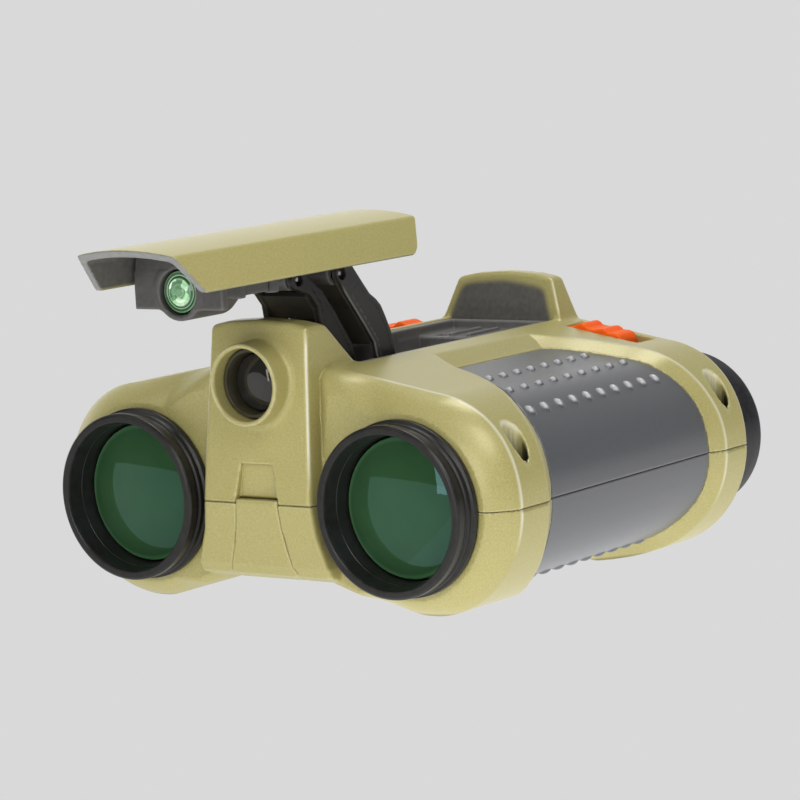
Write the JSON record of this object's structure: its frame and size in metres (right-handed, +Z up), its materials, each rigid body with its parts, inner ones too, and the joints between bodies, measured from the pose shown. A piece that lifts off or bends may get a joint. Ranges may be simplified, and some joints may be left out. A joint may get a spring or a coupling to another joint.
{
  "type": "toy night scope binoculars",
  "caption": "Toy binoculars with dotted side grips and green objectives; a gold lid on a parallel linkage pops up over the nose to aim a green lamp.",
  "frame": {"origin": "centre of the bounding box in plan with the lid popped up, on the plane the barrels rest on", "axes": "+X across the barrels towards the release slider, +Y from the objectives towards the eyepieces, +Z up"},
  "size_m": [0.1192, 0.1566, 0.0807],
  "materials": {
    "gold_paint": "satin metallic gold paint over moulded plastic",
    "grip_grey": "satin grey",
    "dark_plastic": "matte dark grey",
    "black_plastic": "satin black",
    "soft_black": "matte black",
    "green_glass": "polished, green tinted",
    "clear_glass": "polished, clear",
    "lamp_green": "polished, green, ringed",
    "orange": "satin",
    "steel": "bright",
    "mirror_cup": "mirror",
    "led_clear": "clear"
  },
  "bodies": {
    "body": {"upper_shell": "gold_paint", "lower_shell": "gold_paint", "grip_upper_right": "grip_grey", "grip_upper_left": "grip_grey", "grip_lower_right": "grip_grey", "grip_lower_left": "grip_grey", "tray": "dark_plastic", "barrel_tube_right": "black_plastic", "barrel_tube_left": "black_plastic", "nose_tube": "black_plastic", "eyecup_right": "soft_black", "eyecup_left": "soft_black", "eyepiece_lens_right": "clear_glass", "eyepiece_lens_left": "clear_glass", "nose_lens": "clear_glass", "shell_screw_front_right": "steel", "shell_screw_front_left": "steel", "shell_screw_rear_right": "steel", "shell_screw_rear_left": "steel", "tray_pin_front": "steel", "tray_pin_rear_right": "steel", "tray_pin_rear_left": "steel", "battery_cell_right": "steel", "battery_cell_middle": "steel", "battery_cell_left": "steel", "battery_contact_right": "steel", "battery_contact_left": "steel"},
    "front_link": {"front_link": "dark_plastic"},
    "lid": {"lid_cover": "gold_paint", "lid_frame": "dark_plastic", "lamp_reflector": "mirror_cup", "lamp_lens": "lamp_green", "lamp_led": "led_clear", "lid_pin_front": "steel", "lid_pin_rear": "steel"},
    "rear_link": {"rear_link": "dark_plastic"},
    "release_slider": {"release_slider": "orange"},
    "lamp_switch": {"lamp_switch_slider": "orange"},
    "battery_door": {"battery_door": "gold_paint"},
    "focus_cell_right": {"objective_lens_right": "green_glass"},
    "focus_ring_right": {"objective_ring_right": "black_plastic"},
    "focus_cell_left": {"objective_lens_left": "green_glass"},
    "focus_ring_left": {"objective_ring_left": "black_plastic"}
  },
  "joints": [
    {"name": "lid_lift", "type": "hinge", "parent": "body", "child": "front_link", "pos_m": [0, -0.01174, 0.04387], "axis": [-1, 0, 0], "range_deg": [0, 114], "stiffness_Nm_per_rad": 0.005, "springref_deg": -28.65},
    {"name": "lid_level", "type": "hinge", "parent": "front_link", "child": "lid", "pos_m": [0, -0.03043, 0.0696], "axis": [-1, 0, 0], "range_deg": [-114, 0]},
    {"name": "rear_link_swing", "type": "hinge", "parent": "body", "child": "rear_link", "pos_m": [0, 0.00026, 0.04387], "axis": [-1, 0, 0], "range_deg": [0, 114]},
    {"name": "release_slide", "type": "slide", "parent": "body", "child": "release_slider", "axis": [0.9837, 0, -0.18], "range_m": [0, 0.0036], "stiffness_N_per_m": 80, "springref_m": -0.001},
    {"name": "lamp_switch_slide", "type": "slide", "parent": "body", "child": "lamp_switch", "axis": [0.9837, 0, 0.18], "range_m": [0, 0.0036]},
    {"name": "battery_door_swing", "type": "hinge", "parent": "body", "child": "battery_door", "pos_m": [0, -0.00733, 0.0081], "axis": [1, 0, 0], "range_deg": [0, 85]},
    {"name": "focus_travel_right", "type": "slide", "parent": "body", "child": "focus_cell_right", "axis": [0, -1, 0], "range_m": [0, 0.0015]},
    {"name": "focus_turn_right", "type": "hinge", "parent": "focus_cell_right", "child": "focus_ring_right", "pos_m": [0.0346, -0.03993, 0.0234], "axis": [0, 1, 0], "range_deg": [0, 270]},
    {"name": "focus_travel_left", "type": "slide", "parent": "body", "child": "focus_cell_left", "axis": [0, -1, 0], "range_m": [0, 0.0015]},
    {"name": "focus_turn_left", "type": "hinge", "parent": "focus_cell_left", "child": "focus_ring_left", "pos_m": [-0.0346, -0.03993, 0.0234], "axis": [0, 1, 0], "range_deg": [0, 270]}
  ],
  "couplings": [
    {"joint": "lid_level", "follows": "lid_lift", "ratio": -1},
    {"joint": "rear_link_swing", "follows": "lid_lift", "ratio": 1},
    {"joint": "focus_travel_right", "follows": "focus_turn_right", "m_per_rad": 0.00031831},
    {"joint": "focus_travel_left", "follows": "focus_turn_left", "m_per_rad": 0.00031831}
  ]
}
